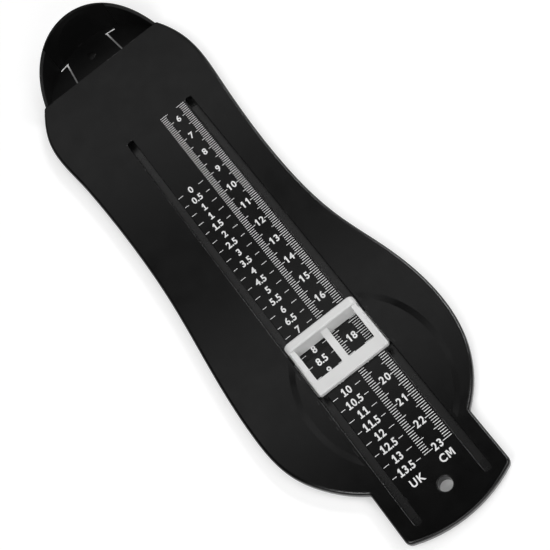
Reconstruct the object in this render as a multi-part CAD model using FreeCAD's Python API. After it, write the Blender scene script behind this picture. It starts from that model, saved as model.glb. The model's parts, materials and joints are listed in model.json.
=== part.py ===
import FreeCAD, Part
import math
import os
from FreeCAD import Vector

# Foot measuring device: a foot-shaped board with a scale between two slots, a base
# cover that closes the board from below, a heel cup that snaps into the board's back,
# and a slider with a toe stop that rides in the slots. Lengths are in millimetres.
#
# Stations run along the board from the zero of its scale towards the toe end.
# Widths run from the middle of the scale, to the right as seen from the toe end.
# Heights run up from the surface that the board lies on.

# ---- heights of the board ------------------------------------------------------------
cover_floor = 1.4          # sheet of the base cover
channel_height = 2.0       # free height between base cover and deck
deck_thickness = 1.8       # sheet that the foot stands on
edge_height = 2.8          # outer edge of the board, seen from the side
edge_radius = 1.1          # rounding of that edge's top
plinth_inset = 1.6         # the base cover stands back from the edge by this much
cover_rim = 1.2            # width of the base cover's raised border

deck_underside = cover_floor + channel_height
board_top = deck_underside + deck_thickness
edge_bottom = board_top - edge_height
lip_width = plinth_inset + cover_rim

# ---- plan of the board ---------------------------------------------------------------
heel_axis = -5.9           # middle of the heel
heel_half_width = 36.2
heel_widest = 41.4         # station of the heel's widest line
heel_reach = 46.55         # from there to the back of the heel's oval
heel_lean = 2.05           # the oval's back stands this much to the right of the heel's middle
heel_turn_step = 15        # degrees between the outline's points round the oval
heel_last_turn = 75        # from the oval's back to the last of them on each side
cup_setback = 0.65         # the heel cup's wall stands inside that oval by this much
cup_length = 18.8          # from the cup's back to the straight seam between heel cup and board

cup_back = heel_widest - heel_reach + cup_setback
seam_station = cup_back + cup_length

# points of the foot's outline between the heel's widest line and the toes
right_side = [(28.9, 57.0), (27.0, 84.0), (26.7, 107.0), (29.7, 137.0), (35.8, 161.0)]
right_forefoot = (39.1, 187.5)
right_toes = [(37.0, 203.5), (31.2, 216.4), (20.5, 227.7)]
toe_crown = (-1.0, 236.0)
left_toes = [(-23.2, 228.3), (-32.8, 218.7), (-39.9, 206.0)]
left_forefoot = (-42.4, 188.0)
left_side = [(-41.0, 155.0), (-38.4, 124.0), (-37.9, 92.0), (-39.4, 60.0)]

extension_middle = -0.2    # straight end that carries the scale past the toes
extension_half_width = 21.7
extension_start = 200.0
toe_end_station = 254.6
toe_end_radius = 52.0
toe_end_middle = -1.5      # width at which its bowed front reaches furthest
toe_corner_radius = 2.5
notch_radius = 1.5

# ---- slots and hanging hole ----------------------------------------------------------
track_middle = -0.3        # middle between the two slots
slot_inner = 13.0          # from there to a slot's near side
slot_width = 2.8
slot_heel_end = 54.2
slot_end_margin = 7.4      # from a slot's toe end to the board's toe end
slot_corner_radius = 1.0
slot_edge_radius = 0.3
hole_margin = 12.6         # from the hole's middle to the board's toe end
hole_radius = 2.6
hole_wall = 1.5            # tube around the hanging hole
hole_edge_radius = 0.4
hole_tube_gap = 0.15       # between that tube and the base cover

slot_toe_end = toe_end_station - slot_end_margin
hole_station = toe_end_station - hole_margin

# ---- shallow oval hollow under the ball of the foot ----------------------------------
hollow_middle = (2.7, 197.0)
hollow_half_width = 27.5
hollow_half_length = 34.5
hollow_depth = 0.5
hollow_slope = 2.2         # width of its sloping border
scale_margin = 1.2         # flat strip kept outside each slot

# ---- rails and pegs under the deck ---------------------------------------------------
rail_gap = 0.7             # between slot and rail
rail_thickness = 1.4
rail_overrun = 2.5         # past the slots' ends
peg_radius = 1.1
peg_grip = 0.02            # peg larger than its bore
peg_boss_wall = 1.0
peg_top_gap = 0.2
cover_rim_gap = 0.2        # between a rail and the base cover's border
right_pegs = [(15.0, 42.0), (21.0, 78.0), (21.0, 112.0), (25.0, 150.0), (29.0, 186.0), (25.0, 210.0)]
left_pegs = [(-29.0, 42.0), (-29.0, 78.0), (-29.0, 114.0), (-31.0, 152.0), (-33.0, 188.0), (-27.0, 212.0)]

# ---- heel cup ------------------------------------------------------------------------
cup_wall = 1.6
cup_rise = 16.5            # back of the rim above the deck
rim_middle_reach = 7.6     # the rim sweeps through a point this far from the cup's back
rim_middle_rise = 11.6     # and this far above the deck
rim_radius = 0.6
cup_floor = 1.2
cup_clearance = 0.1        # between cup and deck, and at the seam
cup_foot_wall = 1.6
panel_turn = 25.2          # degrees round the heel's oval to each edge of the flatter back panel
panel_edge_wall = 1.0      # wall outside the panel's two edges
panel_foot_wall = 3.5      # wall in the panel's middle, at its foot
panel_rim_wall = 1.2       # and at the rim
flange_half_width = 24.0
flange_length = 12.0
flange_corner_radius = 2.0
tongue_middle = -5.5
tongue_half_width = 11.4   # at the seam
tongue_taper = 0.104       # narrowing of each side towards the cup's back, per length
slit_width = 0.75
slit_from_wall = 0.3
slit_arm = 3.6             # stretch of the slit along the foot of the wall
slit_arm_width = 1.55
tooth_half_width = 6.0
tooth_length = 3.0
tooth_height = 0.7
tooth_setback = 2.4        # from the tongue's end
tooth_gap = 0.3
bump_reach = 10.1          # from the cup's back to the bump's middle
bump_radius = 1.9
bump_height = 0.5

# ---- slider --------------------------------------------------------------------------
reading_station = 180.0    # station in the middle of the slider's windows
lowest_station = 60.0      # the same when the slider is nearest the heel
slider_gap = 0.2           # between slider and deck
slider_sheet = 2.0
window_length = 12.4
window_width = 11.05
window_corner_radius = 0.5
side_bar = 2.6
middle_bar = 2.8
toe_bar = 5.1
stop_thickness = 3.5
stop_rise = 7.7            # top of the toe stop above the deck
stop_corner_radius = 2.4
stop_edge_radius = 0.8
cheek_length = 7.0
cheek_drop = 1.2           # the cheeks start this far under the stop's top
rib_length = 2.4
slider_corner_radius = 0.8
slider_edge_radius = 0.7
leg_thickness = 1.8
leg_side_gap = 0.3         # between leg and near side of the slot
leg_end_gap = 0.3          # between leg and slot's end at the end of travel
leg_corner_radius = 0.4
leg_toe_inset = 2.6        # legs stop short of the slider's toe end
leg_foot_gap = 0.2
keeper_thickness = 1.1
keeper_gap = 0.3           # between keeper and deck
keeper_border = 0.7        # around the legs
keeper_arm = 4.2
keeper_bridge_length = 4.6
keeper_corner_radius = 0.8
barb_reach = 0.4

cut_margin = 5.0           # how far cutting shapes pass a face
weld = 0.3                 # how deep a joined feature reaches into its neighbour
touch = 0.01               # closer than this, two places count as the same

# ---- origin of the frame: middle of the board's length and width ---------------------
frame_width = (left_forefoot[0] + right_forefoot[0]) / 2
frame_station = (cup_back + toe_end_station) / 2


# ---- helpers -------------------------------------------------------------------------
def place(width, station, height=0.0):
    """Point of the frame for a width, a station and a height."""
    return Vector(width - frame_width, frame_station - station, height)


def prism(face, low, high):
    """Solid between two heights over a face drawn at height zero."""
    base = face.copy()
    base.translate(Vector(0, 0, low))
    return base.extrude(Vector(0, 0, high - low))


def block(widths, stations, heights):
    """Box between pairs of widths, stations and heights."""
    corner = place(min(widths), max(stations), min(heights))
    sizes = [max(pair) - min(pair) for pair in (widths, stations, heights)]
    return Part.makeBox(sizes[0], sizes[1], sizes[2], corner)


def post(width, station, radius, low, high):
    return Part.makeCylinder(radius, high - low, place(width, station, low))


def upright_edges(solid):
    """Straight vertical edges of a solid."""
    found = []
    for edge in solid.Edges:
        box = edge.BoundBox
        if box.XLength < touch and box.YLength < touch and box.ZLength > touch:
            found.append(edge)
    return found


def rounded_block(widths, stations, heights, radius):
    solid = block(widths, stations, heights)
    return solid.makeFillet(radius, upright_edges(solid))


def middle_of(edge):
    """Width, station and height in the middle of an edge."""
    point = edge.valueAt((edge.FirstParameter + edge.LastParameter) / 2)
    return point.x + frame_width, frame_station - point.y, point.z


def level_edges(solid, height):
    """Edges that lie flat at one height."""
    found = []
    for edge in solid.Edges:
        box = edge.BoundBox
        if abs(box.ZMin - height) < touch and abs(box.ZMax - height) < touch:
            found.append(edge)
    return found


def side_profile(points, widths):
    """Solid across the board whose side view has the given (station, height) corners."""
    corners = [place(min(widths), station, height) for station, height in points]
    outline = Part.makePolygon(corners + corners[:1])
    return Part.Face(outline).extrude(Vector(max(widths) - min(widths), 0, 0))


def single(shape):
    """The solid of a shape, without seams inside its flat faces."""
    cleaned = shape.removeSplitter()
    return cleaned.Solids[0] if len(cleaned.Solids) == 1 else cleaned


def joined(solids):
    """One solid from solids that reach into each other."""
    return single(solids[0].fuse(solids[1:]))


def between(edges, first_station, last_station):
    """Edges whose middle lies between two stations."""
    return [edge for edge in edges if first_station < middle_of(edge)[1] < last_station]


def on_track(solid):
    """A solid drawn about the scale's middle, moved to the middle between the slots."""
    return solid.translated(Vector(track_middle, 0, 0))


# ---- outlines ------------------------------------------------------------------------
def heel_point(angle):
    """Point of the heel's oval; the angle is zero at its back and a quarter turn at its side."""
    width = heel_axis + heel_half_width * math.sin(angle) + heel_lean * math.cos(angle) ** 2
    return width, heel_widest - heel_reach * math.cos(angle)


def foot_points():
    """Points around the whole foot shape: up the left side, round the toes and heel."""
    turns = range(heel_last_turn, -heel_last_turn - 1, -heel_turn_step)
    heel = [heel_point(math.radians(turn)) for turn in turns]
    left = left_side[::-1] + [left_forefoot] + left_toes[::-1]
    right = right_toes[::-1] + [right_forefoot] + right_side[::-1]
    return left + [toe_crown] + right + heel


def closed_curve(points):
    curve = Part.BSplineCurve()
    curve.interpolate(Points=points, PeriodicFlag=True)
    return curve


def foot_face(inset=0.0):
    """Face of the foot shape, moved inwards by the inset."""
    points = [place(*point) for point in foot_points()]
    curve = closed_curve(points)
    if inset:
        moved = []
        for point in points:
            along = curve.tangent(curve.parameter(point))[0]
            moved.append(point + Vector(-along.y, along.x, 0) * inset)
        curve = closed_curve(moved)
    return Part.Face(Part.Wire(curve.toShape()))


def extension_face(inset=0.0):
    """Face of the straight end past the toes, with its bowed front."""
    radius = toe_end_radius - inset
    centre = toe_end_station - toe_end_radius
    starts = []
    corners = []
    for side in (1, -1):
        width = extension_middle + side * (extension_half_width - inset)
        reach = math.sqrt(radius ** 2 - (width - toe_end_middle) ** 2)
        starts.append(place(width, extension_start))
        corners.append(place(width, centre + reach))
    edges = [
        Part.makeLine(starts[0], corners[0]),
        Part.Arc(corners[0], place(toe_end_middle, centre + radius), corners[1]).toShape(),
        Part.makeLine(corners[1], starts[1]),
        Part.makeLine(starts[1], starts[0]),
    ]
    return Part.Face(Part.Wire(edges))


def behind(station, heights):
    """Box over everything on the heel's side of a station."""
    reach = 2 * heel_half_width
    stations = (cup_back - cut_margin, station)
    return block((heel_axis - reach, heel_axis + reach), stations, heights)


def board_prism(low, high, inset=0.0):
    """Foot shape with its straight end, cut off at the seam."""
    foot = prism(foot_face(inset), low, high)
    extension = prism(extension_face(inset), low, high)
    heights = (low - cut_margin, high + cut_margin)
    return single(joined([foot, extension]).cut(behind(seam_station, heights)))


def heel_prism(low, high, inset=0.0, front=seam_station - cup_clearance):
    """Part of the foot shape on the heel's side of the seam."""
    return prism(foot_face(inset), low, high).common(behind(front, (low, high)))


# ---- sole plate ----------------------------------------------------------------------
def slot_cutters():
    cutters = []
    stations = (slot_heel_end, slot_toe_end)
    heights = (deck_underside - cut_margin, board_top + cut_margin)
    for near in (slot_inner, -slot_inner - slot_width):
        widths = (near, near + slot_width)
        cutters.append(on_track(rounded_block(widths, stations, heights, slot_corner_radius)))
    return cutters


def oval(half_width, half_length, height):
    """Wire of an oval around the hollow's middle."""
    points = []
    steps = 16
    for step in range(steps):
        angle = 2 * math.pi * step / steps
        width = hollow_middle[0] + half_width * math.cos(angle)
        station = hollow_middle[1] + half_length * math.sin(angle)
        points.append(place(width, station, height))
    return Part.Wire(closed_curve(points).toShape())


def hollow_cutter():
    """Shallow hollow under the ball of the foot, on both sides of the scale's flat strip."""
    floor = oval(
        hollow_half_width - hollow_slope,
        hollow_half_length - hollow_slope,
        board_top - hollow_depth,
    )
    above = oval(
        hollow_half_width + hollow_slope,
        hollow_half_length + hollow_slope,
        board_top + hollow_depth,
    )
    bowl = Part.makeLoft([floor, above], True)
    strip_half = slot_inner + slot_width + scale_margin
    reach = 2 * hollow_half_length
    stations = (hollow_middle[1] - reach, hollow_middle[1] + reach)
    strip = block((-strip_half, strip_half), stations, (0, board_top + cut_margin))
    return bowl.cut(on_track(strip))


def deck():
    """The board's outer form, with rounded corners and a rounded border."""
    solid = board_prism(edge_bottom, board_top)
    past_toes = toe_end_station + cut_margin
    toe_corners = between(upright_edges(solid), toe_crown[1], past_toes)
    solid = solid.makeFillet(toe_corner_radius, toe_corners)
    notches = between(upright_edges(solid), right_forefoot[1], toe_crown[1])
    solid = solid.makeFillet(notch_radius, notches)
    border = between(level_edges(solid, board_top), seam_station + touch, past_toes)
    return solid.makeFillet(edge_radius, border)


def sole_plate():
    """Upper shell of the board: deck, lip, rails, peg bosses and the hanging hole's tube."""
    underside = board_prism(edge_bottom - cut_margin, deck_underside, lip_width)
    shell = deck().cut([underside, tooth_pocket(), hollow_cutter()])
    tube = post(0, hole_station, hole_radius + hole_wall, 0, deck_underside + weld)
    solid = joined([shell, tube] + rails() + peg_bosses())
    hole = post(0, hole_station, hole_radius, -cut_margin, board_top + cut_margin)
    return soften_plate(single(solid.cut([hole] + slot_cutters() + peg_bores())))


def rails():
    """Two walls under the deck, outside the slots, that the slider's keeper runs between."""
    inside = slot_inner + slot_width + rail_gap
    stations = (slot_heel_end - rail_overrun, slot_toe_end + rail_overrun)
    heights = (cover_floor, deck_underside + weld)
    room = board_prism(cover_floor, deck_underside + weld, lip_width + cover_rim_gap)
    walls = []
    for near in (inside, -inside - rail_thickness):
        wall = block((near, near + rail_thickness), stations, heights)
        walls.append(on_track(wall).common(room).Solids[0])
    return walls


def at_pegs(radius, low, high):
    """A post at each place where the base cover is pegged to the sole plate."""
    return [post(*peg, radius, low, high) for peg in right_pegs + left_pegs]


def peg_bosses():
    return at_pegs(peg_radius + peg_boss_wall, cover_floor, deck_underside + weld)


def peg_bores():
    return at_pegs(peg_radius, cover_floor - cut_margin, deck_underside)


def tooth_pocket():
    """Blind pocket in the deck's underside for the tooth of the heel cup's tongue."""
    first, last = tooth_stations()
    half = tooth_half_width + tooth_gap
    widths = (tongue_middle - half, tongue_middle + half)
    heights = (deck_underside - cut_margin, deck_underside + tooth_height)
    return block(widths, (first - tooth_gap, last + tooth_gap), heights)


def soften_plate(solid):
    """Small roundings at the top of the slots and at both ends of the hanging hole."""
    slot_edges = []
    hole_edges = []
    for edge in level_edges(solid, board_top) + level_edges(solid, 0):
        width, station, _ = middle_of(edge)
        across = slot_inner - touch < abs(width - track_middle) < slot_inner + slot_width + touch
        along = slot_heel_end - touch < station < slot_toe_end + touch
        if across and along:
            slot_edges.append(edge)
        elif math.hypot(width, station - hole_station) < hole_radius + touch:
            hole_edges.append(edge)
    solid = solid.makeFillet(slot_edge_radius, slot_edges)
    return solid.makeFillet(hole_edge_radius, hole_edges)


# ---- base cover ----------------------------------------------------------------------
def base_cover():
    """Lower shell: a flat sheet with a raised border and the pegs that hold it."""
    tray = board_prism(0, edge_bottom, plinth_inset)
    tray = tray.cut(board_prism(cover_floor, edge_bottom + cut_margin, lip_width))
    pegs = at_pegs(peg_radius + peg_grip, cover_floor - weld, deck_underside - peg_top_gap)
    opening = hole_radius + hole_wall + hole_tube_gap
    solid = joined([tray] + pegs)
    return single(solid.cut(post(0, hole_station, opening, -cut_margin, board_top)))


# ---- heel cup ------------------------------------------------------------------------
cup_floor_top = deck_underside - cup_clearance
cup_floor_low = cup_floor_top - cup_floor
cup_top = board_top + cup_rise
bump_station = cup_back + bump_reach
flange_end = seam_station + flange_length


def tooth_stations():
    last = flange_end - tooth_setback
    return last - tooth_length, last


def above_rim():
    """Everything above the sweep of the rim, from the deck at the seam up to the back."""
    side = heel_axis - 2 * heel_half_width
    seam = place(side, seam_station, board_top)
    middle = place(side, cup_back + rim_middle_reach, board_top + rim_middle_rise)
    back = place(side, cup_back - weld, cup_top)
    far_back = place(side, cup_back - cut_margin, cup_top)
    high_back = place(side, cup_back - cut_margin, cup_top + cut_margin)
    high_front = place(side, seam_station + cut_margin, cup_top + cut_margin)
    low_front = place(side, seam_station + cut_margin, board_top)
    corners = [back, far_back, high_back, high_front, low_front, seam]
    edges = [Part.Arc(seam, middle, back).toShape()]
    edges += [Part.makeLine(first, second) for first, second in zip(corners, corners[1:])]
    return Part.Face(Part.Wire(edges)).extrude(Vector(4 * heel_half_width, 0, 0))


def panel_edges():
    """Left and right edge of the back panel, as pairs of width and station."""
    edges = []
    for turn in (-panel_turn, panel_turn):
        width, station = heel_point(math.radians(turn))
        edges.append((width, station + cup_setback + panel_edge_wall))
    return edges


def panel_outline(height, ahead, front):
    """Wire at a height around what lies in front of the panel, from its bow to a station."""
    share = (height - cup_floor_top) / (cup_top - cup_floor_top)
    wall = panel_foot_wall + (panel_rim_wall - panel_foot_wall) * share
    (left, left_edge), (right, right_edge) = panel_edges()
    bow = (
        place(left, left_edge + ahead, height),
        place((left + right) / 2, cup_back + wall + ahead, height),
        place(right, right_edge + ahead, height),
    )
    front_right = place(right, front, height)
    front_left = place(left, front, height)
    edges = [
        Part.Arc(*bow).toShape(),
        Part.makeLine(bow[2], front_right),
        Part.makeLine(front_right, front_left),
        Part.makeLine(front_left, bow[0]),
    ]
    return Part.Wire(edges)


def back_panel():
    """Room in front of the flatter panel in the cup's back, which leans outwards to the rim."""
    heights = (cup_floor_top, cup_top + cut_margin)
    outlines = [panel_outline(height, 0.0, seam_station) for height in heights]
    return Part.makeLoft(outlines, True, True)


def tongue_corner(side, station, beside):
    """Point beside the tongue at a station, on its right or left side."""
    half = tongue_half_width + tongue_taper * (station - seam_station)
    return place(tongue_middle + side * (half + beside), station)


def before_panel(ahead, front):
    """Solid through the cup's floor over what lies in front of the panel's foot."""
    face = Part.Face(panel_outline(cup_floor_top, ahead, front))
    return prism(face, -cut_margin, cut_margin)


def slits():
    """Cuts beside the tongue, which turn outwards along the foot of the wall."""
    heights = (cup_floor_low - cut_margin, cup_floor_top + cut_margin)
    front = flange_end + cut_margin
    room = before_panel(slit_from_wall, front)
    turned = room.cut(before_panel(slit_from_wall + slit_arm_width, front))
    bend = cup_back + panel_foot_wall + slit_from_wall
    cutters = []
    for side in (1, -1):
        corners = [
            tongue_corner(side, cup_back, 0.0),
            tongue_corner(side, front, 0.0),
            tongue_corner(side, front, slit_width),
            tongue_corner(side, cup_back, slit_width),
        ]
        strip = prism(Part.Face(Part.makePolygon(corners + corners[:1])), *heights)
        near = tongue_corner(side, bend, 0.0).x + frame_width
        tip = near + side * (slit_width + slit_arm)
        corner = block((near, tip), (cup_back, seam_station), heights).common(turned)
        cutters.append(joined([strip.common(room), corner]))
    return cutters


def tooth():
    """Snap tooth on the tongue: a ramp towards the toe end and a steep back."""
    first, last = tooth_stations()
    top = cup_floor_top + tooth_height
    flat = first + tooth_length / 3
    low = cup_floor_top - weld
    points = [(first, low), (first, top), (flat, top), (last, cup_floor_top), (last, low)]
    return side_profile(points, (tongue_middle - tooth_half_width, tongue_middle + tooth_half_width))


def press_bump():
    """Low dome on the tongue."""
    radius = (bump_radius ** 2 + bump_height ** 2) / (2 * bump_height)
    centre = place(tongue_middle, bump_station, cup_floor_top + bump_height - radius)
    widths = (tongue_middle - bump_radius, tongue_middle + bump_radius)
    stations = (bump_station - bump_radius, bump_station + bump_radius)
    cap = block(widths, stations, (cup_floor_top - weld, cup_floor_top + bump_height + weld))
    return Part.makeSphere(radius, centre).common(cap)


def cup_shell():
    """Wall and upper floor of the cup, with a rounded rim."""
    top = cup_top + cut_margin
    form = heel_prism(edge_bottom, top, cup_setback)
    room = heel_prism(cup_floor_top, top, cup_setback + cup_wall, seam_station + cut_margin)
    shell = single(form.cut([above_rim(), room]))
    rim = []
    for edge in shell.Edges:
        _, station, height = middle_of(edge)
        across = edge.BoundBox.XLength > touch
        if across and height > board_top + rim_radius and station < seam_station - rim_radius:
            rim.append(edge)
    return single(shell.makeFillet(rim_radius, rim).cut(back_panel()))


def heel_cup():
    """Cup for the heel, with a foot below and a flange and a snap tongue under the deck."""
    floor = heel_prism(cup_floor_low, edge_bottom + weld, plinth_inset)
    foot = heel_prism(0, cup_floor_low + weld, plinth_inset)
    foot = foot.cut(heel_prism(-cut_margin, cup_floor_low + weld, plinth_inset + cup_foot_wall))
    (left, _), (right, _) = panel_edges()
    behind_slits = (left - cup_foot_wall, right + cup_foot_wall)
    stations = (cup_back - cut_margin, seam_station)
    foot = foot.cut(block(behind_slits, stations, (-cut_margin, cup_floor_low + cut_margin)))
    flange = rounded_block(
        (heel_axis - flange_half_width, heel_axis + flange_half_width),
        (seam_station - cut_margin, flange_end),
        (cup_floor_low, cup_floor_top),
        flange_corner_radius,
    )
    solid = joined([cup_shell(), floor, foot, flange, tooth(), press_bump()])
    return single(solid.cut(slits()))


# ---- slider --------------------------------------------------------------------------
slider_half_width = side_bar + window_width + middle_bar / 2
slider_low = board_top + slider_gap
slider_top = slider_low + slider_sheet
stop_top = board_top + stop_rise
window_heel_end = reading_station - window_length / 2
window_toe_end = reading_station + window_length / 2
slider_heel_end = window_heel_end - stop_thickness
slider_toe_end = window_toe_end + toe_bar
leg_inner = slot_inner + leg_side_gap
leg_outer = leg_inner + leg_thickness
travel_to_heel = reading_station - lowest_station
leg_heel_end = slot_heel_end + leg_end_gap + travel_to_heel
leg_toe_end = slider_toe_end - leg_toe_inset
leg_low = cover_floor + leg_foot_gap
keeper_top = deck_underside - keeper_gap
keeper_low = keeper_top - keeper_thickness


def legs(low, high):
    """The two legs that pass through the slots."""
    stations = (leg_heel_end, leg_toe_end)
    pair = []
    for near in (leg_inner, -leg_outer):
        widths = (near, near + leg_thickness)
        pair.append(rounded_block(widths, stations, (low, high), leg_corner_radius))
    return pair


def barbs():
    """Hooks at the legs' ends that hold the keeper."""
    middle = (leg_heel_end + leg_toe_end) / 2
    length = (leg_toe_end - leg_heel_end) / 2
    stations = (middle - length / 2, middle + length / 2)
    hooks = []
    for side in (1, -1):
        widths = (side * (leg_outer - weld), side * (leg_outer + barb_reach))
        hooks.append(block(widths, stations, (leg_low, keeper_low)))
    return hooks


def toe_stop():
    """Upright wall that the toes touch, with rounded shoulders."""
    widths = (-slider_half_width, slider_half_width)
    wall = block(widths, (slider_heel_end, window_heel_end), (slider_low, stop_top))
    shoulders = []
    for edge in level_edges(wall, stop_top):
        if abs(middle_of(edge)[0]) > slider_half_width - touch:
            shoulders.append(edge)
    wall = wall.makeFillet(stop_corner_radius, shoulders)
    rim = []
    for edge in wall.Edges:
        across = edge.BoundBox.XLength > touch and edge.BoundBox.YLength < touch
        if across and middle_of(edge)[2] > stop_top - stop_corner_radius:
            rim.append(edge)
    return wall.makeFillet(stop_edge_radius, rim)


def stiffeners():
    """Sloping cheeks on the side bars and a short rib on the middle bar, behind the toe stop."""
    cheek_top = stop_top - cheek_drop
    cheek = slope_profile(cheek_top, cheek_length)
    rib = slope_profile(cheek_top - cheek_drop, rib_length)
    outside = slider_half_width - slider_edge_radius
    inside = slider_half_width - side_bar
    return [
        side_profile(cheek, (inside, outside)),
        side_profile(cheek, (-outside, -inside)),
        side_profile(rib, (-middle_bar / 2, middle_bar / 2)),
    ]


def slope_profile(top, length):
    """Side view of a stiffener that falls from the toe stop to the slider's sheet."""
    root = window_heel_end - weld
    low = slider_top - weld
    end = window_heel_end + length
    return [(root, low), (root, top), (window_heel_end, top), (end, slider_top), (end, low)]


def windows():
    """The two openings through which the scale is read."""
    stations = (window_heel_end, window_toe_end)
    heights = (slider_low, slider_top + cut_margin)
    pair = []
    for near in (middle_bar / 2, -middle_bar / 2 - window_width):
        widths = (near, near + window_width)
        pair.append(rounded_block(widths, stations, heights, window_corner_radius))
    return pair


def toe_slider():
    """Frame with two windows and a toe stop, on legs that reach through the slots."""
    widths = (-slider_half_width, slider_half_width)
    stations = (slider_heel_end, slider_toe_end)
    sheet = rounded_block(widths, stations, (slider_low, slider_top), slider_corner_radius)
    sheet = sheet.makeFillet(slider_edge_radius, level_edges(sheet, slider_top))
    below = legs(leg_low, slider_low + weld) + barbs()
    solid = joined([sheet, toe_stop()] + stiffeners() + below)
    return on_track(single(solid.cut(windows())))


def slider_keeper():
    """Fork under the deck that the slider's legs snap into."""
    half = leg_outer + keeper_border
    stations = (leg_heel_end - keeper_border, leg_toe_end + keeper_border)
    heights = (keeper_low, keeper_top)
    fork = rounded_block((-half, half), stations, heights, keeper_corner_radius)
    gap_half = half - keeper_arm
    gap_stations = (stations[0] + keeper_bridge_length, stations[1] + cut_margin)
    gap = block((-gap_half, gap_half), gap_stations, heights)
    return on_track(single(fork.cut([gap] + legs(keeper_low, keeper_top))))


# ---- export --------------------------------------------------------------------------
nodes = {
    "sole_plate": sole_plate,
    "base_cover": base_cover,
    "heel_cup": heel_cup,
    "toe_slider": toe_slider,
    "slider_keeper": slider_keeper,
}

os.makedirs("parts", exist_ok=True)
for name, make in nodes.items():
    shape = make()
    shape.exportStep("parts/" + name + ".step")
    print(name, len(shape.Solids), "solid, valid:", shape.isValid(), "mm3:", round(shape.Volume, 1))
travel_to_toe = slot_toe_end - leg_end_gap - leg_toe_end
print("travel to the heel", round(travel_to_heel, 3), "and to the toe", round(travel_to_toe, 3))
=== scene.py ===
"""The looks of a foot measuring device: its plastics, printed scale, floor, light and camera."""

import json
import math

import bmesh
import bpy
from mathutils import Matrix, Vector


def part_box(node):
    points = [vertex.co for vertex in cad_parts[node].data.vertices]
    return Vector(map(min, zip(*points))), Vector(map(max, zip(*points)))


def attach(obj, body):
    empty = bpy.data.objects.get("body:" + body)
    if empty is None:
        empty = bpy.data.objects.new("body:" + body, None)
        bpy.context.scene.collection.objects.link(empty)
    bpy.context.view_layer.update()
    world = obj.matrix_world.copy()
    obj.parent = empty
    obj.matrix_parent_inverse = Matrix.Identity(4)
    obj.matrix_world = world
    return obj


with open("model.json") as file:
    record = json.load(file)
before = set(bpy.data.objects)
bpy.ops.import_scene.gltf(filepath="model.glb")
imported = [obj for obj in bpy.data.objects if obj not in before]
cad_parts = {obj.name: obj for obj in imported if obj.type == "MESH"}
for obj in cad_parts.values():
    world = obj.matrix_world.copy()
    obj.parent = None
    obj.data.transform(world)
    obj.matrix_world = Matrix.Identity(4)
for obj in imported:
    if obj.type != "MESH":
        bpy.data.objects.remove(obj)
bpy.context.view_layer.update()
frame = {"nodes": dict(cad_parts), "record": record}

mm = 0.001

# Camera
camera_place = (-0.00174, -0.24917, 0.42387)
camera_heading = math.radians(0.395)  # from +Y towards +X
camera_fall = math.radians(60.966)  # below the horizon
camera_roll = math.radians(-37.59)  # the heel leans to the upper left
camera_lens = 86.55
camera_sensor = 36.0

# Scale: widths from the scale's middle and stations from the heel, all in millimetres
hole_station = 242.0
ink_thickness = 0.03
mark_corner = 0.28  # cut off a mark's corners, as a share of its thickness

# Centimetre column: a tick each millimetre, a long one each half centimetre, a figure each centimetre
cm_first = 55
cm_last = 230
cm_long_step = 5
cm_figure_step = 10
cm_middle = {1: 6.2, 2: 6.0}  # of the figures, by their count
tick_thickness = 0.25
left_ticks = (0.3, 2.75, 3.9)  # start, end of a short tick, end of a long tick
right_ticks = (11.9, 9.2, 8.15)

# UK column: a half size each five millimetres
uk_first = 90
uk_step = 5
uk_half_sizes = 28
uk_repeat = 1.0  # the size that is printed twice
uk_middle = -7.1
dash_thickness = 0.23
left_dashes = (-12.95, -10.7, -11.15)  # outer end, inner end beside a whole size and beside a half size
right_dashes = (-1.1, -3.4, -3.0)

# Unit marks: middle and station
unit_places = {"UK": (-6.45, 235.4), "CM": (6.17, 234.85)}
unit_pitch = 3.0

# Figures of the built-in font, in millimetres
font_cap_height = 0.729  # as a share of the font's size
font_curve_steps = 5
figure_height = 2.95
figure_rise = 0.2  # how far the figures stand above their marks
figure_pitch = 2.2
point_pitch = 0.5
figure_narrowing = 0.89
figure_swelling = 0.1
weld_reach = 0.0001

# Figure one: heights are down from its top
one_stem = 0.6
one_width = 1.05  # from the flag's tip to the right side of the stem
one_lip = 0.08  # how far the flag's upper edge reaches over the stem
one_flag_top = 0.75
one_flag_bottom = 1.3
one_flag_root = 0.95
one_foot = 1.7
one_foot_height = 0.5

# Letter M: heights are down from its top
em_half_width = 1.23
em_stem = 0.52
em_shoulder = 0.78  # from a stem's outer side to the vee
em_armpit = 0.54  # where the vee leaves a stem
em_notch = 1.55  # the vee's upper corner
em_tip = 2.3  # the vee's foot
em_tip_half = 0.2

# Plastics: reaches in millimetres, scales in features per metre
noise_range = (0.3, 0.7)  # where most of a noise's values lie
blotch_scale = 60.0
rubbing_scale = 140.0
wave_scale = 22.0
wave_strength = 0.6
grain_strength = 0.5
wear_reach = 0.7
wear_samples = 4
wear_scale = 260.0
wear_patches = (0.56, 0.66)  # the noise at which a patch begins and is whole
wear_bend = (0.9, 0.995)  # cosine of the edge's bend where the wear is whole and where it ends

# Floor
floor_size = 60.0
floor_white = (0.6, 0.6, 0.6, 1.0)
floor_glow = 0.57  # under the lamps
far_floor_glow = 1.0  # past them
lamps_reach = (0.35, 0.9)  # distances from the part between which the glow grows, in metres
shadow_reach = 12.0  # how far the part's painted shadow darkens the glow under it, in millimetres
shadow_samples = 16
open_enough = 0.65  # share of open sky from which the painted shadow leaves the glow whole
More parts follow.
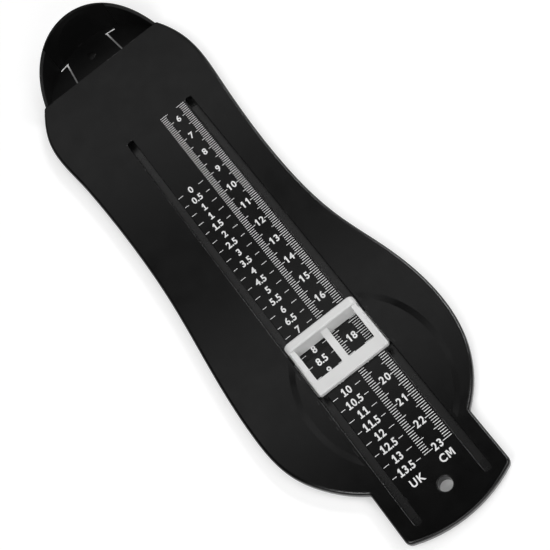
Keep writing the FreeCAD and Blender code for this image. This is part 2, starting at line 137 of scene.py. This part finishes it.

# Sky and lamps
sky_low = (0.22, 0.22, 0.22)  # at the horizon
sky_high = (0.015, 0.015, 0.015)  # overhead
sky_heights = (0.1, 0.7)  # sines of the elevations between which the sky darkens
key_lamps = {  # heading, elevation, distance, width, height, share of white on the floor
    "left_key": (-128, 50, 1.5, 0.7, 0.6, 0.27),
    "right_key": (128, 50, 1.5, 0.7, 0.6, 0.15),
    "toe_fill": (180, 32, 1.6, 1.0, 0.5, 0.085),
    "edge_light": (67, 40, 1.6, 0.9, 0.2, 0.21),
    "left_top": (-80, 71, 1.6, 0.28, 0.3, 0.011),
    "right_top": (80, 71, 1.6, 0.28, 0.3, 0.011),
}
sheen_cards = {  # heading, elevation, distance, width, height, brightness
    "near_card": (9, 50.0, 1.6, 1.4, 0.29, 0.53),
    "far_card": (3, 66.5, 1.6, 1.45, 0.25, 0.62),
}


def record_mount(name):
    return next(mount for mount in frame["record"]["mounts"] if mount["name"] == name)


scale_origin = Vector(record_mount("hanging_hole")["pos_m"]) + Vector((0, hole_station * mm, 0))
deck_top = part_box("sole_plate")[1].z / mm


def at(width, station, height):
    """A point over the board, in metres."""
    return Vector((scale_origin.x + width * mm, scale_origin.y - station * mm, height * mm))


# Materials

def new_material(name):
    made = bpy.data.materials.new(name)
    made.use_nodes = True
    made.node_tree.nodes.clear()
    return made


def add_node(owner, kind, **settings):
    """A new node. Settings in lower case are its own, and the others are values of its sockets."""
    node = owner.node_tree.nodes.new(kind)
    for name, value in settings.items():
        if name.islower():
            setattr(node, name, value)
        else:
            node.inputs[name].default_value = value
    return node


def link(owner, start, end):
    owner.node_tree.links.new(start, end)


def noise(owner, place, scale, detail=2.0, roughness=0.5):
    """Smooth noise whose features are about 1 / scale metres across."""
    node = add_node(owner, "ShaderNodeTexNoise", Scale=scale, Detail=detail, Roughness=roughness)
    link(owner, place, node.inputs["Vector"])
    return node.outputs["Fac"]


def spread(owner, source, low, high, span=noise_range):
    """The source's values over a span turned into low to high."""
    node = add_node(owner, "ShaderNodeMapRange")
    for name, value in (("From Min", span[0]), ("From Max", span[1]), ("To Min", low), ("To Max", high)):
        node.inputs[name].default_value = value
    link(owner, source, node.inputs["Value"])
    return node.outputs["Result"]


def blended(owner, factor, first, second):
    node = add_node(owner, "ShaderNodeMix", data_type="RGBA")
    link(owner, factor, node.inputs["Factor"])
    node.inputs["A"].default_value = (*first, 1.0)
    node.inputs["B"].default_value = (*second, 1.0)
    return node.outputs["Result"]


def combined(owner, operation, first, second):
    node = add_node(owner, "ShaderNodeMath", operation=operation)
    link(owner, first, node.inputs[0])
    link(owner, second, node.inputs[1])
    return node.outputs["Value"]


def bump(owner, height, strength, depth):
    node = add_node(owner, "ShaderNodeBump", Strength=strength, Distance=depth * mm)
    link(owner, height, node.inputs["Height"])
    return node


def edge_wear(owner, place):
    """Share of bare, rubbed plastic: broken patches along the sharp and rounded edges."""
    edge = add_node(owner, "ShaderNodeBevel", samples=wear_samples, Radius=wear_reach * mm)
    flat = add_node(owner, "ShaderNodeNewGeometry")
    likeness = add_node(owner, "ShaderNodeVectorMath", operation="DOT_PRODUCT")
    link(owner, edge.outputs["Normal"], likeness.inputs[0])
    link(owner, flat.outputs["Normal"], likeness.inputs[1])
    on_edge = spread(owner, likeness.outputs["Value"], 1.0, 0.0, wear_bend)
    specks = noise(owner, place, wear_scale, detail=3.0, roughness=0.7)
    patches = spread(owner, specks, 0.0, 1.0, wear_patches)
    return combined(owner, "MULTIPLY", on_edge, patches)


def plastic(name, dark, light, worn, roughness, grain_size, grain_depth, specular, wave_depth=0.05):
    """Moulded plastic: blotches of two near colours, uneven gloss, fine grain, slight waves, worn edges."""
    made = new_material(name)
    place = add_node(made, "ShaderNodeTexCoord").outputs["Object"]
    shader = add_node(made, "ShaderNodeBsdfPrincipled")
    shader.inputs["Specular IOR Level"].default_value = specular
    blotches = noise(made, place, blotch_scale, detail=4.0, roughness=0.6)
    colour = add_node(made, "ShaderNodeMix", data_type="RGBA")
    link(made, edge_wear(made, place), colour.inputs["Factor"])
    link(made, blended(made, spread(made, blotches, 0.0, 1.0), dark, light), colour.inputs["A"])
    colour.inputs["B"].default_value = (*worn, 1.0)
    link(made, colour.outputs["Result"], shader.inputs["Base Color"])
    rubbing = noise(made, place, rubbing_scale, detail=5.0, roughness=0.65)
    link(made, spread(made, rubbing, *roughness), shader.inputs["Roughness"])
    grain = bump(made, noise(made, place, 1 / (grain_size * mm)), grain_strength, grain_depth)
    wave = bump(made, noise(made, place, wave_scale, detail=1.0), wave_strength, wave_depth)
    link(made, grain.outputs["Normal"], wave.inputs["Normal"])
    link(made, wave.outputs["Normal"], shader.inputs["Normal"])
    out = add_node(made, "ShaderNodeOutputMaterial")
    link(made, shader.outputs["BSDF"], out.inputs["Surface"])
    return made


def grey(level):
    return level, level, level


def board_plastic():
    return plastic(
        "board_plastic", dark=grey(0.001), light=grey(0.0016), worn=grey(0.045), roughness=(0.18, 0.24),
        grain_size=0.35, grain_depth=0.006, specular=0.5, wave_depth=0.03,
    )


def cover_plastic():
    return plastic(
        "cover_plastic", dark=grey(0.018), light=grey(0.026), worn=grey(0.03), roughness=(0.24, 0.32),
        grain_size=0.4, grain_depth=0.008, specular=1.0,
    )


def cup_plastic():
    return plastic(
        "cup_plastic", dark=grey(0.003), light=grey(0.004), worn=grey(0.02), roughness=(0.36, 0.46),
        grain_size=0.5, grain_depth=0.01, specular=0.25,
    )


def slider_plastic():
    return plastic(
        "slider_plastic", dark=(0.8, 0.8, 0.795), light=(0.84, 0.84, 0.835), worn=grey(0.88),
        roughness=(0.35, 0.45), grain_size=0.6, grain_depth=0.006, specular=0.45,
    )


def scale_ink():
    return plastic(
        "scale_ink", dark=grey(0.84), light=grey(0.94), worn=grey(0.88), roughness=(0.5, 0.65),
        grain_size=0.25, grain_depth=0.006, specular=0.3,
    )


def floor_material():
    """A white floor that stays white where it is seen; a painted shadow darkens its glow under and beside
    the part, and its matt layer takes the part's real shadow.
    """
    made = new_material("floor_white")
    paths = add_node(made, "ShaderNodeLightPath")
    seen = combined(made, "MAXIMUM", paths.outputs["Is Camera Ray"], paths.outputs["Is Glossy Ray"])
    seen = combined(made, "MAXIMUM", seen, paths.outputs["Is Transmission Ray"])
    away = add_node(made, "ShaderNodeVectorMath", operation="LENGTH")
    link(made, add_node(made, "ShaderNodeTexCoord").outputs["Object"], away.inputs[0])
    whole_glow = spread(made, away.outputs["Value"], floor_glow, far_floor_glow, lamps_reach)
    # painted shadow: ambient occlusion darkens the floor's glow under and beside the part
    painted_shadow_mask = add_node(
        made, "ShaderNodeAmbientOcclusion", samples=shadow_samples, Distance=shadow_reach * mm,
    ).outputs["AO"]
    glow = add_node(made, "ShaderNodeEmission")
    link(made, spread(made, painted_shadow_mask, 0.0, 1.0, (0.0, open_enough)), glow.inputs["Color"])
    link(made, combined(made, "MULTIPLY", seen, whole_glow), glow.inputs["Strength"])
    matt = add_node(made, "ShaderNodeBsdfDiffuse", Color=floor_white)
    both = add_node(made, "ShaderNodeAddShader")
    link(made, matt.outputs["BSDF"], both.inputs[0])
    link(made, glow.outputs["Emission"], both.inputs[1])
    out = add_node(made, "ShaderNodeOutputMaterial")
    link(made, both.outputs["Shader"], out.inputs["Surface"])
    return made


def dress_nodes():
    white = slider_plastic()
    finishes = {
        "sole_plate": board_plastic(),
        "base_cover": cover_plastic(),
        "heel_cup": cup_plastic(),
        "toe_slider": white,
        "slider_keeper": white,
    }
    for name, finish in finishes.items():
        materials = frame["nodes"][name].data.materials
        materials.clear()
        materials.append(finish)


# Printed scale

def new_object(name, mesh):
    made = bpy.data.objects.new(name, mesh)
    bpy.context.scene.collection.objects.link(made)
    return made


def add_printed(work, corners):
    """A closed layer of ink on the deck. The corners are (width, station) pairs in order."""
    low = [work.verts.new(at(width, station, deck_top)) for width, station in corners]
    high = [work.verts.new(at(width, station, deck_top + ink_thickness)) for width, station in corners]
    work.faces.new(list(reversed(low)))
    work.faces.new(high)
    for index in range(len(corners)):
        following = (index + 1) % len(corners)
        work.faces.new((low[index], low[following], high[following], high[index]))


def add_mark(work, start, end, station, thickness):
    """A printed line across the scale, with its corners worn round."""
    left, right = min(start, end), max(start, end)
    half = thickness / 2
    cut = thickness * mark_corner
    add_printed(work, [
        (left + cut, station + half), (right - cut, station + half), (right, station + half - cut),
        (right, station - half + cut), (right - cut, station - half), (left + cut, station - half),
        (left, station - half + cut), (left, station + half - cut),
    ])


def finished_print(name, work, ink):
    bmesh.ops.recalc_face_normals(work, faces=work.faces)
    mesh = bpy.data.meshes.new(name)
    work.to_mesh(mesh)
    work.free()
    mesh.materials.append(ink)
    made = new_object(name, mesh)
    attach(made, "board")
    return made


def weld(mesh):
    work = bmesh.new()
    work.from_mesh(mesh)
    bmesh.ops.remove_doubles(work, verts=work.verts, dist=weld_reach * mm)
    work.to_mesh(mesh)
    work.free()


def glyph(character):
    """One letter or figure of the built-in font, bold and narrow, as a closed mesh about its own middle."""
    curve = bpy.data.curves.new("glyph", "FONT")
    curve.body = character
    curve.size = figure_height / font_cap_height * mm
    curve.offset = figure_swelling * mm
    curve.extrude = ink_thickness / 2 * mm
    curve.resolution_u = font_curve_steps
    drawn = new_object("glyph", curve)
    bpy.context.view_layer.update()
    mesh = bpy.data.meshes.new_from_object(drawn.evaluated_get(bpy.context.evaluated_depsgraph_get()))
    bpy.data.objects.remove(drawn)
    bpy.data.curves.remove(curve)
    weld(mesh)
    across = [vertex.co.x for vertex in mesh.vertices]
    middle = Vector(((min(across) + max(across)) / 2, figure_height / 2 * mm, 0))
    mesh.transform(Matrix.Diagonal((figure_narrowing, 1, 1, 1)) @ Matrix.Translation(-middle))
    return mesh


def turned_glyph(character):
    """A glyph turned half round where it stands."""
    mesh = glyph(character)
    along = [vertex.co.y for vertex in mesh.vertices]
    middle = Vector((0, (min(along) + max(along)) / 2, 0))
    half_turn = Matrix.Rotation(math.pi, 4, "Z")
    mesh.transform(Matrix.Translation(middle) @ half_turn @ Matrix.Translation(-middle))
    return mesh


glyphs = {"9": turned_glyph("6")}  # the font's own nine loses its tail when it is swelled


def add_glyph(work, character, width, station):
    if character not in glyphs:
        glyphs[character] = glyph(character)
    known = len(work.verts)
    work.from_mesh(glyphs[character])
    work.verts.ensure_lookup_table()
    shift = at(width, station, deck_top + ink_thickness / 2)
    for vertex in work.verts[known:]:
        vertex.co += shift


def add_one(work, width, station, footed):
    """A figure one with a flag, standing on a foot or without one."""
    top = station - figure_height / 2 - figure_swelling
    bottom = station + figure_height / 2 + figure_swelling
    right = width + one_width / 2
    left = width - one_width / 2
    stem = right - one_stem
    flag = [
        (right, top), (stem + one_lip, top), (left, top + one_flag_top),
        (left, top + one_flag_bottom), (stem, top + one_flag_root),
    ]
    base = [(stem, bottom), (right, bottom)]
    if footed:
        foot_left = (stem + right - one_foot) / 2
        foot_right = foot_left + one_foot
        foot_top = bottom - one_foot_height
        base = [
            (stem, foot_top), (foot_left, foot_top), (foot_left, bottom),
            (foot_right, bottom), (foot_right, foot_top), (right, foot_top),
        ]
    add_printed(work, flag + base)


def add_em(work, width, station):
    """A capital M: two stems with a vee between them, drawn here because the font's own overlaps itself."""
    top = station - figure_height / 2 + figure_swelling
    bottom = station + figure_height / 2 + figure_swelling
    inner = em_half_width - em_stem
    right_half = [
        (em_half_width - em_shoulder, top), (em_half_width, top), (em_half_width, bottom),
        (inner, bottom), (inner, top + em_armpit), (em_tip_half, top + em_tip),
    ]
    left_half = [(-across, down) for across, down in reversed(right_half)]
    outline = [(0, top + em_notch)] + right_half + left_half
    add_printed(work, [(width + across, down) for across, down in outline])


def add_text(work, text, middle, station, pitch=figure_pitch, footed_ones=False):
    pitches = [point_pitch if character == "." else pitch for character in text]
    width = middle - sum(pitches) / 2
    row = station - figure_rise
    for character, room in zip(text, pitches):
        if character == "1":
            add_one(work, width + room / 2, row, footed_ones)
        elif character == "M":
            add_em(work, width + room / 2, row)
        else:
            add_glyph(work, character, width + room / 2, row)
        width += room


def print_cm_ticks(ink):
    work = bmesh.new()
    for station in range(cm_first, cm_last + 1):
        is_long = station % cm_long_step == 0
        for start, short_end, long_end in (left_ticks, right_ticks):
            add_mark(work, start, long_end if is_long else short_end, station, tick_thickness)
    finished_print("cm_ticks", work, ink)


def print_cm_numbers(ink):
    work = bmesh.new()
    for station in range(cm_first, cm_last + 1):
        if station % cm_figure_step == 0:
            text = str(station // cm_figure_step)
            add_text(work, text, cm_middle[len(text)], station)
    finished_print("cm_numbers", work, ink)


def uk_sizes():
    """The sizes from zero on, with one of them printed twice."""
    sizes = [half_sizes / 2 for half_sizes in range(uk_half_sizes)]
    return sorted(sizes + [uk_repeat])


def print_uk_scale(ink):
    numbers = bmesh.new()
    dashes = bmesh.new()
    for index, size in enumerate(uk_sizes()):
        station = uk_first + index * uk_step
        add_text(numbers, f"{size:g}", uk_middle, station, footed_ones=True)
        for outer, whole_end, half_end in (left_dashes, right_dashes):
            add_mark(dashes, outer, whole_end if size == int(size) else half_end, station, dash_thickness)
    finished_print("uk_numbers", numbers, ink)
    finished_print("uk_dashes", dashes, ink)


def print_units(ink):
    work = bmesh.new()
    for text, (middle, station) in unit_places.items():
        add_text(work, text, middle, station, unit_pitch)
    finished_print("unit_marks", work, ink)


def print_scale():
    ink = scale_ink()
    print_cm_ticks(ink)
    print_cm_numbers(ink)
    print_uk_scale(ink)
    print_units(ink)


# Stage

def make_floor():
    work = bmesh.new()
    bmesh.ops.create_grid(work, x_segments=1, y_segments=1, size=floor_size / 2)
    mesh = bpy.data.meshes.new("floor")
    work.to_mesh(mesh)
    work.free()
    mesh.materials.append(floor_material())
    new_object("floor", mesh)


def softbox(name, heading, elevation, distance, width, height, brightness):
    """A flat lamp that faces the part. The heading is from +Y towards +X."""
    turn, rise = math.radians(heading), math.radians(elevation)
    direction = Vector((math.sin(turn) * math.cos(rise), math.cos(turn) * math.cos(rise), math.sin(rise)))
    lamp = bpy.data.lights.new(name, "AREA")
    lamp.shape = "RECTANGLE"
    lamp.size = width
    lamp.size_y = height
    lamp.energy = brightness * math.pi * width * height
    made = new_object(name, lamp)
    made.location = direction * distance
    made.rotation_mode = "QUATERNION"
    made.rotation_quaternion = direction.to_track_quat("Z", "Y")


def light_scene():
    for name, (heading, elevation, distance, width, height, level) in key_lamps.items():
        brightness = level * math.pi * distance ** 2 / (width * height * math.sin(math.radians(elevation)))
        softbox(name, heading, elevation, distance, width, height, brightness)
    for name, sizes in sheen_cards.items():
        softbox(name, *sizes)


def make_sky():
    """A studio that is pale at the horizon and dark overhead."""
    sky = bpy.data.worlds.new("studio")
    sky.use_nodes = True
    direction = add_node(sky, "ShaderNodeTexCoord")
    split = add_node(sky, "ShaderNodeSeparateXYZ")
    link(sky, direction.outputs["Generated"], split.inputs["Vector"])
    height = spread(sky, split.outputs["Z"], 0.0, 1.0, sky_heights)
    shade = blended(sky, height, sky_low, sky_high)
    link(sky, shade, sky.node_tree.nodes["Background"].inputs["Color"])
    bpy.context.scene.world = sky


def aim_camera():
    forward = Vector((
        math.sin(camera_heading) * math.cos(camera_fall),
        math.cos(camera_heading) * math.cos(camera_fall),
        -math.sin(camera_fall),
    ))
    level_right = forward.cross(Vector((0, 0, 1))).normalized()
    level_up = level_right.cross(forward)
    right = level_right * math.cos(camera_roll) + level_up * math.sin(camera_roll)
    up = level_up * math.cos(camera_roll) - level_right * math.sin(camera_roll)
    data = bpy.data.cameras.new("camera")
    data.lens = camera_lens
    data.sensor_width = camera_sensor
    data.sensor_fit = "HORIZONTAL"
    made = new_object("camera", data)
    turned = Matrix((right, up, -forward)).transposed().to_4x4()
    made.matrix_world = Matrix.Translation(Vector(camera_place)) @ turned
    bpy.context.scene.camera = made


aim_camera()
make_floor()
light_scene()
make_sky()
dress_nodes()
print_scale()
bpy.context.scene.view_settings.view_transform = "Standard"
